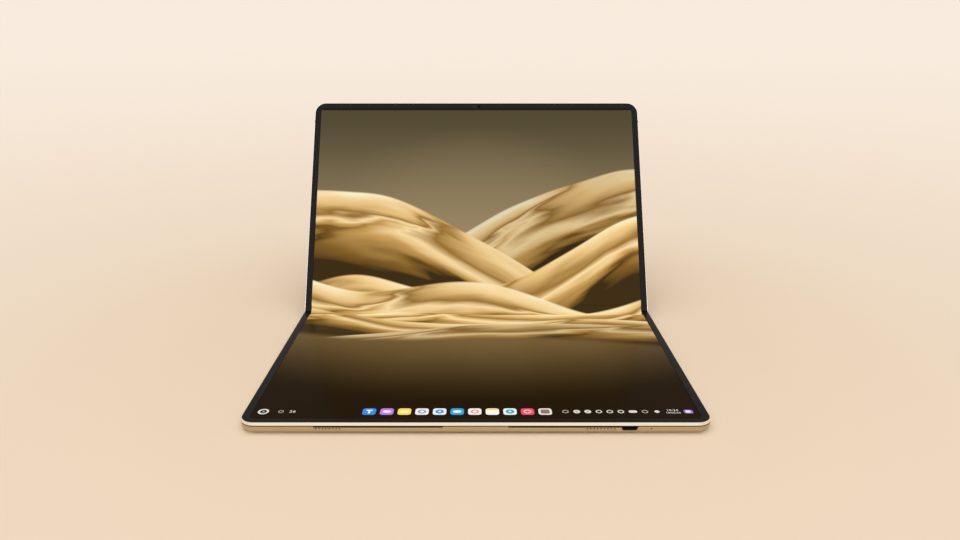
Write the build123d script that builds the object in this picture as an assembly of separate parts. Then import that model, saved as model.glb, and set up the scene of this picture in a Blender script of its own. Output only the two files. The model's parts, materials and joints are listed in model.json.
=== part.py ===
"""Foldable laptop with one flexible display over both halves, standing open on a table.

The halves and the fold hinge are drawn unfolded, with the display facing up. There x runs
across the laptop, y away from the front edge and z up. The fold line is y = 0, the covers'
underside is z = 0, and the base half lies at y < 0. Pieces of a half are drawn on the lid's
side and mirrored for the base. The spine and the lid are then folded up to the rest angle,
and the laptop is moved so that its origin is the middle of its bounding box, on the table.
"""
from build123d import *
from math import asin, cos, degrees, radians, sin
import os

# Overall size, in millimetres and degrees
width = 285.0
half_length = 188.2
half_thickness = 7.3
corner_radius = 9.8
open_angle = 121.0
shut_gap = 0.3
foot_height = 0.7

# Rim and shell of each half
bevel_in = 0.5
bevel_drop = 1.9
groove_height = 0.35
groove_depth = 0.35
shell_wall = 2.2
shell_floor = 0.8
shell_round = 3.0
frame_land = 0.15
frame_rebate = 0.9
frame_width = 3.0
ledge_width = 1.8

# Display, its border and what carries it
border = 5.5
screen_recess = 0.25
panel_thickness = 0.6
panel_inset = 3.4
support_thickness = 0.4
bezel_gap = 0.05

# Fold hinge
axis_offset = 1.5
bezel_end_gap = 0.1
spine_radius = 5.0
spine_wall = 0.65
spine_clearance = 0.2
spine_rim_drop = 0.3
spine_end_inset = 0.6
spine_cap_length = 2.4
lip_gap = 0.15
end_wall = 1.0
end_wall_drop = 0.9
tongue_inner = 2.9
tongue_wall = 0.95
tongue_end_angle = 325.0
rail_clearance = 0.08
arm_width = 8.0
arm_pitch = 10.0
arm_side_gap = 0.4
arm_top_drop = 0.8
arm_thickness = 0.7
arm_pad_width = 18.0
arm_pad_start = 13.4
arm_pad_length = 11.0
rail_top_drop = 0.6
rail_width = 22.0
module_side_inset = 42.5
module_grooves_gap = 4.0

# Display fold, wing plates and ribbon
bend_start = 12.0
wing_length = 5.0
wing_thickness = 0.4
wing_bead_radius = 0.4
wing_gap = 0.1
wing_ratio = 0.09
wing_side_inset = 8.0
fold_bottom_radius = 6.5
ribbon_width = 24.0
ribbon_thickness = 0.25
ribbon_reach = 5.0
ribbon_drop = 1.5

# Front edge of the base
grille_inner_x = 19.75
grille_side_inset = 45.5
grille_floor = 1.2
grille_depth = 2.6
grille_seam = 0.1
slot_height = 0.85
speaker_holes = 9
speaker_hole_pitch = 2.05
speaker_hole_radius = 0.45
speaker_hole_height = 3.45
speaker_left_inset = 53.0
speaker_right_inset = 67.65
port_side_inset = 50.5
port_height = 4.0
port_shell_width = 8.9
port_shell_height = 2.7
port_shell_wall = 0.25
port_depth = 8.5
port_margin = 0.35
mic_side_inset = 37.5
mic_hole_radius = 0.4
mic_width = 5.0
mic_length = 4.0
port_tongue_width = 6.5
port_tongue_height = 0.7
port_block_width = 7.1
port_block_length = 4.0

# Kickstand in the lid's back
stand_thickness = 1.6
stand_gap = 0.3
stand_inner_v = 40.0
stand_length = 122.0
stand_width = 104.0
stand_hinge_x = -2.0
stand_corner = 5.0
stand_pin_radius = 0.4
stand_pin_clearance = 0.05
stand_pin_reach = 5.0
stand_notch_width = 26.0
stand_notch_depth = 5.0
stand_notch_height = 1.2
stand_island_margin = 7.0

# Inner pieces
arm_screw_head_radius = 1.4
arm_screw_head_height = 0.45
arm_screw_radius = 0.6
arm_screw_length = 3.0
arm_screw_pitch = 11.0
screw_clearance = 0.06
boss_radius = 2.3
board_height = 1.4
board_thickness = 1.0
board_side_inset = 54.5
board_start = 30.0
board_length = 66.0
board_chips = ((-52.0, 8.0, 16.0), (-52.0, -14.0, 12.0), (48.0, 10.0, 14.0), (48.0, -14.0, 18.0), (74.0, 0.0, 9.0))
board_chip_depth = 0.7
post_inset = 5.5
processor_width = 30.0
processor_length = 24.0
fan_side_inset = 80.5
fan_front_gap = 43.0
fan_radius = 24.0
fan_height = 4.2
fan_wall = 0.8
fan_eye_radius = 12.0
fan_hub_radius = 8.0
fan_blades = 25
fan_blade_thickness = 0.7
fan_axle_radius = 1.2
fan_axle_clearance = 0.08
fan_gap = 0.4
fan_blade_slant = 30.0
fan_tip_gap = 1.5
fan_duct_gap = 2.0
fan_eye_slots = 9
fan_eye_slot_width = 1.2
spreader_thickness = 0.5
spreader_inset = 4.0
spreader_fan_gap = 2.0
battery_front_gap = 4.0
battery_thickness = 4.1
battery_fan_gap = 9.2
battery_board_gap = 10.0
lid_battery_thickness = 2.4
lid_battery_side_inset = 28.5
lid_battery_length = 118.0
driver_x = -60.0
driver_width = 96.0
driver_length = 8.0
driver_thickness = 1.6
driver_gap = 6.0
speaker_width = 24.0
speaker_length = 9.0
speaker_height = 3.2
camera_x = 2.5
camera_inset = 3.3
camera_lens_radius = 1.3
camera_width = 7.0
camera_length = 5.0
camera_height = 1.8
camera_wall_gap = 0.2
lens_drop = 0.05
lens_clearance = 0.05
sensor_x = -1.8
sensor_radius = 0.5
magnet_length = 9.8
magnet_size = 1.4
magnet_side_inset = 18.5
magnet_middle_x = 12.0
antenna_length = 2.2
antenna_from_top = 18.0
antenna_depth = 0.9

# Buttons and feet
button_depth = 1.3
button_height = 1.9
button_gap = 0.12
button_proud = 0.35
power_length = 11.0
power_v = 44.0
volume_length = 20.0
volume_v = 47.0
foot_width = 8.0
foot_length = 150.0
foot_sink = 0.3
foot_inset = 12.0

# Heights and angles that follow
fold_half = (180.0 - open_angle) / 2
axis_depth = axis_offset - shut_gap / 2
axis_z = half_thickness - axis_depth
frame_z = half_thickness - bevel_drop
shell_z = frame_z - groove_height
rebate_z = half_thickness - frame_rebate
screen_z = half_thickness - screen_recess
panel_z = screen_z - panel_thickness
support_z = panel_z - support_thickness
lip_radius = spine_radius + spine_clearance
tongue_outer = tongue_inner + tongue_wall
spine_inner = spine_radius - spine_wall
spine_half = width / 2 - spine_end_inset
end_wall_v = axis_offset + lip_radius + end_wall
arm_top = axis_z - arm_top_drop
arm_bottom = arm_top - arm_thickness
slot_z = shell_z - slot_height
grille_outer_x = width / 2 - grille_side_inset
speaker_hole_left_x = speaker_left_inset - width / 2
speaker_hole_right_x = width / 2 - speaker_right_inset
port_x = width / 2 - port_side_inset
mic_x = width / 2 - mic_side_inset
quarter_turn = 90.0
wing_bead_z = panel_z - wing_gap - wing_bead_radius
ribbon_z = axis_z - ribbon_drop
tongue_start_angle = degrees(asin(arm_top_drop / tongue_inner))
tongue_sweep = tongue_end_angle - 180.0 - tongue_start_angle
module_spacing = width / 2 - module_side_inset
module_x = (-module_spacing, 0.0, module_spacing)
magnet_side_x = width / 2 - magnet_side_inset
magnet_x = (-magnet_side_x, -magnet_middle_x, magnet_middle_x, magnet_side_x)
board_width = width - 2 * board_side_inset
board_v = board_start + board_length / 2
post_reach = (board_width / 2 - post_inset, board_length / 2 - post_inset)
board_posts = [(x * post_reach[0], board_v + v * post_reach[1]) for x in (-1, 0, 1) for v in (-1, 1)]
fan_top = shell_floor + fan_height
fan_x = width / 2 - fan_side_inset
fan_v = half_length - shell_wall - fan_front_gap
fan_duct_end = half_length - shell_wall - fan_duct_gap
battery_end = half_length - shell_wall - battery_front_gap
battery_length = battery_end - board_start - board_length - battery_board_gap
battery_width = 2 * (fan_x - fan_radius - battery_fan_gap)
lid_battery_width = width - 2 * lid_battery_side_inset
button_z = (shell_round + shell_z) / 2
foot_v = (axis_offset + lip_radius + foot_inset, half_length - foot_inset)
stand_room = stand_thickness + stand_gap / 2
island_z = stand_room + shell_floor
stand_pin_z = stand_thickness / 2
stand_end_x = stand_hinge_x + stand_width
stand_v = stand_inner_v + stand_length / 2
camera_v = half_length - bevel_in - camera_inset
base_axis = (-axis_offset, axis_z)
lid_axis = (axis_offset, axis_z)


def bar(x0, x1, y0, y1, z0, z1):
    """Box between two corners."""
    size = Box(x1 - x0, y1 - y0, z1 - z0)
    return Pos((x0 + x1) / 2, (y0 + y1) / 2, (z0 + z1) / 2) * size


def rod(x, y, z0, z1, radius):
    """Upright cylinder."""
    return Pos(x, y, (z0 + z1) / 2) * Cylinder(radius, z1 - z0)


def along_x(section, x0, x1):
    """Solid of one section in the y-z plane, from x0 to x1."""
    return extrude(Plane.YZ.offset(x0) * section, x1 - x0)


def disc(centre, radius):
    """Round section about a point of the y-z plane."""
    return Pos(*centre) * Circle(radius)


def plan(inset, start):
    """Outline of a half seen from above, drawn in from its three outer edges."""
    length = half_length - inset - start
    face = Pos(0, start) * Rectangle(width - 2 * inset, length, align=(Align.CENTER, Align.MIN))
    corners = face.vertices().sort_by(Axis.Y)[-2:]
    return fillet(corners, max(corner_radius - inset, 1.0))


def slab(inset, start, z0, z1):
    """Plate with a half's outline between two heights."""
    return Pos(0, 0, z0) * extrude(plan(inset, start), z1 - z0)


def to_base(shape):
    """Mirror a piece from the lid's side of the fold line to the base's."""
    return mirror(shape, about=Plane.XZ)


def shell_body():
    """Outside of a half below its rim, with the shadow groove under the rim."""
    body = slab(0, lip_gap, 0, shell_z)
    under = body.edges().filter_by_position(Axis.Z, -0.01, 0.01)
    outer = [edge for edge in under if edge.center().Y > lip_gap + 0.01]
    return fillet(outer, shell_round) + slab(groove_depth, lip_gap, shell_z, frame_z)


def spine_room():
    """Space in a half's end that the round spine turns in."""
    section = disc(lid_axis, lip_radius)
    section += Pos(0, axis_z + half_thickness / 2) * Rectangle(2 * (axis_offset + lip_radius), half_thickness)
    section += Pos(0, axis_z - lip_radius / 2) * Rectangle(2 * axis_offset, lip_radius)
    return along_x(section, -width, width)


def arm_x(module, side):
    """Middle of an arm's curved tongue: the base's on the left, the lid's on the right."""
    return module + side * arm_pitch / 2


def screw_places(side):
    """Middle of each screw that holds a hinge arm, seen from above."""
    pad_v = arm_pad_start + arm_pad_length / 2
    return [(arm_x(x, side) + step, pad_v) for x in module_x
            for step in (-arm_screw_pitch / 2, arm_screw_pitch / 2)]


def shell(side):
    """Cover shell of a half: floor, walls, a hollow end for the spine and screw bosses."""
    part = shell_body()
    part -= slab(shell_wall, end_wall_v, shell_floor, frame_z + 1)
    part -= spine_room()
    wing_half = width / 2 - wing_side_inset + 1
    part -= bar(-wing_half, wing_half, 0, end_wall_v + 1, axis_z - end_wall_drop, frame_z + 1)
    room = arm_width / 2 + arm_side_gap
    for x in module_x:
        middle = arm_x(x, side)
        part -= bar(middle - room, middle + room, 0, end_wall_v + 1, arm_bottom - spine_clearance, frame_z)
    ribbon_room = ribbon_width / 2 + arm_side_gap
    middle = module_spacing / 2
    part -= bar(middle - ribbon_room, middle + ribbon_room, 0, end_wall_v + 1,
                ribbon_z - ribbon_thickness / 2 - spine_clearance, frame_z)
    for x, v in screw_places(side):
        part += rod(x, v, shell_floor, arm_bottom, boss_radius)
        part -= rod(x, v, arm_bottom - arm_screw_length, arm_bottom + 1, arm_screw_radius + screw_clearance)
    return part


def frame():
    """Bevelled rim of a half with the rebate for the bezel and the ledge for the display support."""
    taper = Vector(bevel_in, bevel_drop).get_angle(Vector(0, 1))
    part = Pos(0, 0, frame_z) * extrude(plan(0, -corner_radius), bevel_drop, taper=taper)
    part -= slab(bevel_in + frame_land, -2 * corner_radius, rebate_z, half_thickness + 1)
    part -= slab(frame_width, -2 * corner_radius, support_z, half_thickness + 1)
    part -= slab(frame_width + ledge_width, -2 * corner_radius, 0, half_thickness + 1)
    inner = width / 2 - frame_width
    part -= bar(-inner, inner, -2 * corner_radius, bend_start + 2 * wing_bead_radius, 0, half_thickness)
    return part - fold_end_cut()


def fold_end_cut():
    """What is taken from a half's rim so that it passes over the spine and rounds off at the fold."""
    far = 3 * corner_radius
    round_end = axis_offset - bezel_end_gap
    section = Pos(axis_offset - far / 2, axis_z) * Rectangle(far, 4 * half_thickness)
    section -= disc(lid_axis, round_end)
    under = axis_depth - frame_rebate - 2 * bezel_gap
    section += Pos(0, axis_z + under - half_thickness) * Rectangle(2 * (axis_offset + lip_radius),
                                                                   2 * half_thickness)
    return along_x(section, -width, width)


def bezel():
    """Black border round a half, with a thin lip over the display's edge."""
    part = slab(bevel_in + frame_land + bezel_gap, -corner_radius, rebate_z, half_thickness)
    part -= slab(panel_inset - bezel_gap, -2 * corner_radius, 0, screen_z)
    part -= slab(border, -2 * corner_radius, 0, half_thickness + 1)
    return part - fold_end_cut()


def panel():
    """Flat stretch of the display on one half."""
    return slab(panel_inset, bend_start, panel_z, screen_z)


def support():
    """Stiff plate under the display, hollowed at its end for the wing plate's bead."""
    start = bend_start + wing_bead_radius
    part = slab(panel_inset, start, support_z, panel_z)
    groove = disc((bend_start, wing_bead_z), wing_bead_radius + rail_clearance)
    return part - along_x(groove, -width, width)


def wing():
    """Plate beside the fold that tilts down as the halves close, drawn level."""
    half = width / 2 - wing_side_inset
    top = panel_z - wing_gap
    part = bar(-half, half, bend_start - wing_length, bend_start, top - wing_thickness, top)
    part += along_x(disc((bend_start, wing_bead_z), wing_bead_radius), -half, half)
    return part


def arm(module, side):
    """Hinge arm: a pad that is screwed to its half, a neck and a tongue curved about the fold axis."""
    x = arm_x(module, side)
    tongue = ring_sector(lid_axis, tongue_inner, tongue_outer, -tongue_start_angle, -tongue_sweep)
    part = along_x(tongue, x - arm_width / 2, x + arm_width / 2)
    neck_end = arm_pad_start + 1
    neck_start = axis_offset + tongue_inner * cos(radians(tongue_start_angle))
    part += bar(x - arm_width / 2, x + arm_width / 2, neck_start, neck_end, arm_bottom, arm_top)
    pad = Rectangle(arm_pad_width, arm_pad_length)
    pad = fillet(pad.vertices(), 2.0)
    pad = Pos(x, arm_pad_start + arm_pad_length / 2, arm_bottom) * extrude(pad, arm_thickness)
    part += pad
    for place_x, place_v in screw_places(side):
        if abs(place_x - x) < arm_pad_width / 2:
            part -= rod(place_x, place_v, arm_bottom - 1, arm_top + 1, arm_screw_radius + screw_clearance)
            head = arm_screw_head_radius + screw_clearance
            part -= rod(place_x, place_v, arm_top - arm_screw_head_height, arm_top + 1, head)
    return part


def ring_sector(centre, inner, outer, start, sweep):
    """Part of a ring about a point of the y-z plane, by angles in degrees."""
    end = start + sweep
    far = [(centre[0] + outer * cos(radians(a)), centre[1] + outer * sin(radians(a))) for a in (start, end)]
    near = [(centre[0] + inner * cos(radians(a)), centre[1] + inner * sin(radians(a))) for a in (start, end)]
    outline = [
        CenterArc(centre, outer, start, sweep),
        Line(far[1], near[1]),
        CenterArc(centre, inner, start, sweep),
        Line(near[0], far[0]),
    ]
    return make_face(outline)


def arm_screws(side):
    """Screws of a half's hinge arms."""
    screws = []
    for x, v in screw_places(side):
        head = rod(x, v, arm_top - arm_screw_head_height, arm_top, arm_screw_head_radius)
        shank = rod(x, v, arm_bottom - arm_screw_length + 0.2, arm_top - arm_screw_head_height, arm_screw_radius)
        screws.append(head + shank)
    return screws


def spine_section(radius, drop):
    """Section of the spine: round about both fold axes, level below and cut off above."""
    section = disc(base_axis, radius) + disc(lid_axis, radius)
    section += Pos(0, axis_z) * Rectangle(2 * axis_offset, 2 * radius)
    top = axis_z - drop
    return section - Pos(0, top + radius) * Rectangle(8 * radius, 2 * radius)


def spine_cover():
    """Outer shell of the spine, notched where the hinge arms pass its rims."""
    part = along_x(spine_section(spine_radius, spine_rim_drop), -spine_half, spine_half)
    part -= along_x(spine_section(spine_inner, -1), -spine_half - 1, spine_half + 1)
    room = arm_width / 2 + arm_side_gap
    notch_z = arm_bottom - spine_clearance
    for x in module_x:
        for side in (-1, 1):
            middle = arm_x(x, side)
            y0, y1 = sorted((side * axis_offset, side * (axis_offset + 2 * spine_radius)))
            part -= bar(middle - room, middle + room, y0, y1, notch_z, half_thickness)
    return part


def spine_cap(side):
    """Plug that closes one end of the spine, hollowed for the rounded ends of the bezels."""
    x0, x1 = sorted((side * spine_half, side * (spine_half - spine_cap_length)))
    part = along_x(spine_section(spine_inner, spine_rim_drop), x0, x1)
    for centre in (base_axis, lid_axis):
        part -= along_x(disc(centre, axis_offset), x0 - 1, x1 + 1)
    return part


def rail_block(module):
    """Block in the spine with a curved groove for each of its two arms."""
    part = along_x(spine_section(spine_inner, rail_top_drop), module - rail_width / 2, module + rail_width / 2)
    part -= bar(module - rail_width, module + rail_width, -fold_bottom_radius / 2, fold_bottom_radius / 2,
                axis_z - 2 * rail_top_drop, half_thickness)
    room = arm_width / 2 + arm_side_gap / 2
    inner = tongue_inner - rail_clearance
    outer = tongue_outer + rail_clearance
    groove = ring_sector(lid_axis, inner, outer, quarter_turn - tongue_start_angle,
                         -tongue_sweep - quarter_turn - module_grooves_gap)
    notch_z = arm_bottom - spine_clearance
    for side in (-1, 1):
        middle = arm_x(module, side)
        cut = along_x(groove, middle - room, middle + room)
        cut += bar(middle - room, middle + room, axis_offset + inner, 3 * spine_radius, notch_z, half_thickness)
        part -= cut if side > 0 else to_base(cut)
    return part


def half_point(v, z):
    """Point of a half, v from the fold line, in the spine's frame at the rest angle, on the lid's side."""
    phi = radians(fold_half)
    out, up = v - axis_offset, z - axis_z
    return (axis_offset + out * cos(phi) - up * sin(phi), axis_z + out * sin(phi) + up * cos(phi))


def fold_slope(start_y, wing_slope):
    """Steepest slope of the folded display, so that its length stays as it is when flat."""
    low, high = wing_slope, radians(85)
    for _ in range(60):
        slope = (low + high) / 2
        straight = bend_start - wing_length - fold_bottom_radius * slope
        reach = wing_length * cos(wing_slope) + straight * cos(slope) + fold_bottom_radius * sin(slope)
        if reach > start_y:
            low = slope
        else:
            high = slope
    return slope


def fold_points(depth):
    """Corners of the display's fold on the lid's side, at a depth below the screen, in the spine's frame."""
    first = radians(fold_half)
    wing_slope = radians(fold_half * (1 + wing_ratio))
    y, z = half_point(bend_start, screen_z)
    slope = fold_slope(y, wing_slope)
    straight = bend_start - wing_length - fold_bottom_radius * slope
    corner = (y - wing_length * cos(wing_slope), z - wing_length * sin(wing_slope))
    bend = (corner[0] - straight * cos(slope), corner[1] - straight * sin(slope))
    half_turn = (slope - wing_slope) / 2
    points = []
    for (y, z), angle, reach in (((y, z), first, 1.0), (corner, wing_slope + half_turn, 1 / cos(half_turn)),
                                 (bend, slope, 1.0)):
        points.append((y + depth * reach * sin(angle), z - depth * reach * cos(angle)))
    bottom_z = bend[1] - fold_bottom_radius * (1 - cos(slope))
    points.append((0.0, bottom_z - depth))
    return points


def bent_strip(half_width):
    """Strip that follows the folded display at the rest angle, drawn in the spine's frame."""
    upper = fold_points(0.0)
    lower = fold_points(panel_thickness)
    edges = []
    for points in (upper, lower):
        left = [(-y, z) for y, z in points]
        edges += [Line(points[0], points[1]), Line(points[1], points[2])]
        edges += [Line(left[0], left[1]), Line(left[1], left[2])]
        edges.append(ThreePointArc(points[2], points[3], left[2]))
    for sign in (-1, 1):
        edges.append(Line((sign * upper[0][0], upper[0][1]), (sign * lower[0][0], lower[0][1])))
    return along_x(make_face(edges), -half_width, half_width)


def fold_ribbon():
    """Ribbon cable that crosses the fold through the spine, drawn in the spine's frame."""
    low = (axis_offset, axis_z - spine_inner / 2)
    ends = (bend_start + ribbon_reach, end_wall_v)
    right = [half_point(v, ribbon_z) for v in ends] + [low]
    route = right + [(-y, z) for y, z in reversed(right)]
    section = Sketch() + disc(route[0], ribbon_thickness / 2)
    for (y0, z0), (y1, z1) in zip(route, route[1:]):
        run = Vector(y1 - y0, z1 - z0)
        angle = run.get_signed_angle(Vector(1, 0), Vector(0, 0, -1))
        strip = Rectangle(run.length, ribbon_thickness)
        section += Pos((y0 + y1) / 2, (z0 + z1) / 2) * Rot(0, 0, angle) * strip
        section += disc((y1, z1), ribbon_thickness / 2)
    middle = module_spacing / 2
    return along_x(section, middle - ribbon_width / 2, middle + ribbon_width / 2)


def grille_box(side, margin, top):
    """Room of one grille bar in the front wall."""
    x0, x1 = sorted((side * (grille_inner_x - margin), side * (grille_outer_x + margin)))
    return bar(x0, x1, half_length - grille_depth - margin, half_length + 1, grille_floor, top)


def port_cut():
    """Opening for the port through the front wall."""
    size = (port_shell_width + 2 * port_margin, port_shell_height + 2 * port_margin)
    mouth = fillet(Rectangle(*size).vertices(), size[1] / 2 - 0.01)
    return Plane.XZ * Pos(port_x, port_height) * mouth


def through_front(face):
    """Solid of a face in the x-z plane, through the front wall."""
    return Pos(0, half_length + 1, 0) * extrude(face, 2 * grille_depth)


def grille_bar(side):
    """Front bar under an air slot, with speaker holes, and the port's opening on the right."""
    part = shell_body() & grille_box(side, 0, slot_z)
    middle = speaker_hole_right_x if side > 0 else speaker_hole_left_x
    holes = GridLocations(speaker_hole_pitch, 1, speaker_holes, 1)
    face = Sketch() + [Pos(middle, speaker_hole_height) * place * Circle(speaker_hole_radius) for place in holes]
    part -= through_front(Plane.XZ * face)
    if side > 0:
        part -= through_front(port_cut())
    return part


def rounded_box(x, v, z0, width_x, length_v, height, radius=1.0):
    """Block with rounded upright edges, standing at a height."""
    outline = fillet(Rectangle(width_x, length_v).vertices(), radius)
    return Pos(x, v, z0) * extrude(outline, height)


def button_face(length, grow):
    """Outline of a side button, seen from the side."""
    size = (length + 2 * grow, button_height + 2 * grow)
    return fillet(Rectangle(*size).vertices(), size[1] / 2 - 0.01)


def side_prism(face, v, x0, x1):
    """Solid through a side wall from an outline in the y-z plane."""
    return extrude(Plane.YZ.offset(x0) * Pos(v, button_z) * face, x1 - x0)


def base_shell():
    """Cover under the base: vents, grille rooms, button slots, board posts and foot recesses."""
    part = shell(-1)
    for side in (-1, 1):
        part -= grille_box(side, grille_seam, shell_z)
        slot = fan_eye_slot_width
        for place in GridLocations(2 * slot, 1, fan_eye_slots, 1):
            x = side * fan_x + place.position.X
            reach = fan_eye_radius - 2 * slot
            part -= bar(x - slot / 2, x + slot / 2, fan_v - reach, fan_v + reach, -1, shell_floor + 1)
    part -= through_front(port_cut())
    mic = Plane.XZ * Pos(mic_x, speaker_hole_height) * Circle(mic_hole_radius)
    part -= through_front(mic)
    part -= side_prism(button_face(power_length, button_gap), power_v, width / 2 - 2 * shell_wall, width)
    part -= side_prism(button_face(volume_length, button_gap), volume_v, -width, 2 * shell_wall - width / 2)
    for x, v in board_posts:
        part += rod(x, v, shell_floor / 2, board_height, boss_radius)
    for v in foot_v:
        part -= rounded_box(0, v, -1, foot_length, foot_width, 1 + foot_sink, foot_width / 2.1)
    return part


def button(length, v, side):
    """Side button: a pill through the wall with a flange behind it."""
    face = width / 2 + button_proud
    inner = width / 2 - shell_wall
    back = inner - button_depth
    cap = side_prism(button_face(length, 0), v, back, face)
    flange = side_prism(button_face(length, 3 * button_gap), v, back, inner)
    part = cap + flange
    return part if side > 0 else mirror(part, about=Plane.YZ)


def feet():
    """Two long rubber feet under the base."""
    height = foot_height + foot_sink
    return [rounded_box(0, v, -foot_height, foot_length, foot_width, height, foot_width / 2.1) for v in foot_v]


def mainboard():
    """Circuit board on its posts, with the processor block that reaches the heat spreader."""
    part = rounded_box(0, board_v, board_height, board_width, board_length, board_thickness, 2.0)
    top = board_height + board_thickness
    part += rounded_box(0, board_v, top, processor_width, processor_length, fan_top - top)
    for x, step, size in board_chips:
        part += rounded_box(x, board_v + step, top, size, size * board_chip_depth, board_thickness)
    return part


def fan_outline(grow):
    """Scroll of a blower seen from above: round, with an outlet duct towards the front slot."""
    outer = fan_radius + grow
    duct = Rectangle(fan_radius + 2 * grow, fan_duct_end - fan_v, align=(Align.CENTER, Align.MIN))
    return Circle(outer) + Pos(-fan_radius / 2, 0) * duct


def fan_housing():
    """Blower housing with inlets above and below and an axle in the middle."""
    part = extrude(fan_outline(fan_wall), fan_height)
    cavity = fan_outline(0)
    part -= Pos(0, 0, fan_wall) * extrude(cavity, fan_height - 2 * fan_wall)
    duct_end = fan_duct_end - fan_v
    mouth = bar(-fan_radius, 0, duct_end - fan_wall, duct_end + 1, fan_wall, fan_height - fan_wall)
    part -= mouth
    ring = Circle(fan_eye_radius) - Circle(fan_hub_radius)
    spokes = Rectangle(2 * fan_eye_radius, fan_wall * 2) + Rectangle(fan_wall * 2, 2 * fan_eye_radius)
    part -= Pos(0, 0, -1) * extrude(ring - spokes, fan_wall + 1.01)
    part -= Pos(0, 0, fan_height - fan_wall - 0.01) * extrude(Circle(fan_eye_radius), fan_wall + 1)
    part += rod(0, 0, 0, fan_height - fan_wall, fan_axle_radius)
    return part


def impeller():
    """Fan wheel: a hub on the axle, a disc and a ring of slanted blades."""
    z0 = fan_wall + fan_gap
    height = fan_height - 2 * fan_wall - 2 * fan_gap
    hub = rod(0, 0, z0, z0 + height, fan_hub_radius)
    disc_part = rod(0, 0, z0, z0 + fan_blade_thickness, fan_radius / 2)
    part = hub + disc_part
    reach = fan_radius - fan_gap - fan_tip_gap - fan_hub_radius
    middle = fan_hub_radius + reach / 2 - fan_blade_thickness
    blade = Pos(middle, 0, z0 + height / 2) * Rot(0, 0, fan_blade_slant) * Box(reach, fan_blade_thickness, height)
    part += [Rot(0, 0, 360 * index / fan_blades) * blade for index in range(fan_blades)]
    return part - rod(0, 0, 0, fan_height, fan_axle_radius + fan_axle_clearance)


def heat_spreader():
    """Flat vapour chamber from the processor block to the fans."""
    start = board_start + spreader_inset
    end = fan_v - fan_eye_radius - spreader_fan_gap
    return rounded_box(0, (start + end) / 2, fan_top, 2 * fan_x + fan_radius, end - start, spreader_thickness, 4.0)


def base_battery():
    """Battery between the fans."""
    v = battery_end - battery_length / 2
    return rounded_box(0, v, shell_floor, battery_width, battery_length, battery_thickness, 2.0)


def speaker(middle):
    """Speaker box behind its row of holes."""
    end = half_length - grille_depth - 2 * grille_seam
    return rounded_box(middle, end - speaker_length / 2, shell_floor, speaker_width, speaker_length, speaker_height)


def port():
    """Metal port shell with its contact tongue, on a small block that stands on the floor."""
    size = (port_shell_width, port_shell_height)
    outer = fillet(Rectangle(*size).vertices(), size[1] / 2 - 0.01)
    room = (size[0] - 2 * port_shell_wall, size[1] - 2 * port_shell_wall)
    inner = fillet(Rectangle(*room).vertices(), room[1] / 2 - 0.01)
    plane = Plane.XZ * Pos(port_x, port_height)
    end = half_length - port_margin
    part = Pos(0, end, 0) * extrude(plane * outer, port_depth)
    part -= Pos(0, end + 1, 0) * extrude(plane * inner, port_depth - port_margin)
    tongue = Rectangle(port_tongue_width, port_tongue_height)
    part += Pos(0, end - port_shell_height / 2, 0) * extrude(plane * tongue, port_depth - port_shell_height)
    floor = port_height - port_shell_height / 2 + port_shell_wall / 2
    v = half_length - 2 * shell_wall - 1 - port_block_length / 2
    part += rounded_box(port_x, v, shell_floor, port_block_width, port_block_length, floor - shell_floor, 0.5)
    return part


def microphone():
    """Microphone capsule behind its pinhole."""
    end = half_length - shell_wall
    top = speaker_hole_height + 2 * mic_hole_radius
    return rounded_box(mic_x, end - mic_length / 2, shell_floor, mic_width, mic_length, top - shell_floor, 0.6)


def magnets():
    """Closing magnets under the rim's ledge."""
    v = half_length - shell_wall - magnet_size
    z = frame_z - magnet_size
    return [rounded_box(x, v, z, magnet_length, magnet_size, magnet_size, magnet_size / 7) for x in magnet_x]


def stand_pocket(grow, height, corner):
    """Room of the kickstand plate in the lid's back."""
    x0 = stand_hinge_x - stand_pin_z - grow
    x1 = stand_end_x + grow
    return rounded_box((x0 + x1) / 2, stand_v, 0, x1 - x0, stand_length + 2 * grow, height, corner)


def lid_shell():
    """Cover behind the lid: kickstand pocket with its pin holes, finger notch and antenna rooms."""
    part = shell(1)
    part += Pos(0, 0, shell_floor / 2) * stand_pocket(stand_island_margin, island_z - shell_floor / 2, stand_corner)
    pocket = stand_pocket(stand_gap, stand_room, stand_gap)
    part -= Pos(0, 0, -0.001) * pocket
    notch = rod(stand_end_x + stand_notch_depth - stand_notch_width / 2, stand_v, -1, stand_notch_height,
                stand_notch_width / 2)
    part -= notch
    for pin in stand_pins():
        part -= pin
    for box in antenna_boxes():
        part -= box
    return part


def stand_pins():
    """Two hinge pins of the kickstand, each half in the lid and half in the plate."""
    pins = []
    for side in (-1, 1):
        v = stand_v + side * stand_length / 2
        pin = Rot(90, 0, 0) * Cylinder(stand_pin_radius, 2 * stand_pin_reach)
        pins.append(Pos(stand_hinge_x, v, stand_pin_z) * pin)
    return pins


def kickstand():
    """Kickstand plate with a round hinge edge."""
    x0, x1 = stand_hinge_x, stand_end_x
    outline = Pos((x0 + x1) / 2, stand_v) * Rectangle(x1 - x0, stand_length)
    outer = outline.vertices().sort_by(Axis.X)[-2:]
    part = extrude(fillet(outer, stand_corner), stand_thickness)
    edge = Rot(90, 0, 0) * Cylinder(stand_pin_z, stand_length)
    part += Pos(stand_hinge_x, stand_v, stand_pin_z) * edge
    bore = stand_pin_radius + stand_pin_clearance
    for side in (-1, 1):
        v = stand_v + side * stand_length / 2
        hole = Rot(90, 0, 0) * Cylinder(bore, 2 * stand_pin_reach + 2)
        part -= Pos(stand_hinge_x, v, stand_pin_z) * hole
    return part


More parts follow.
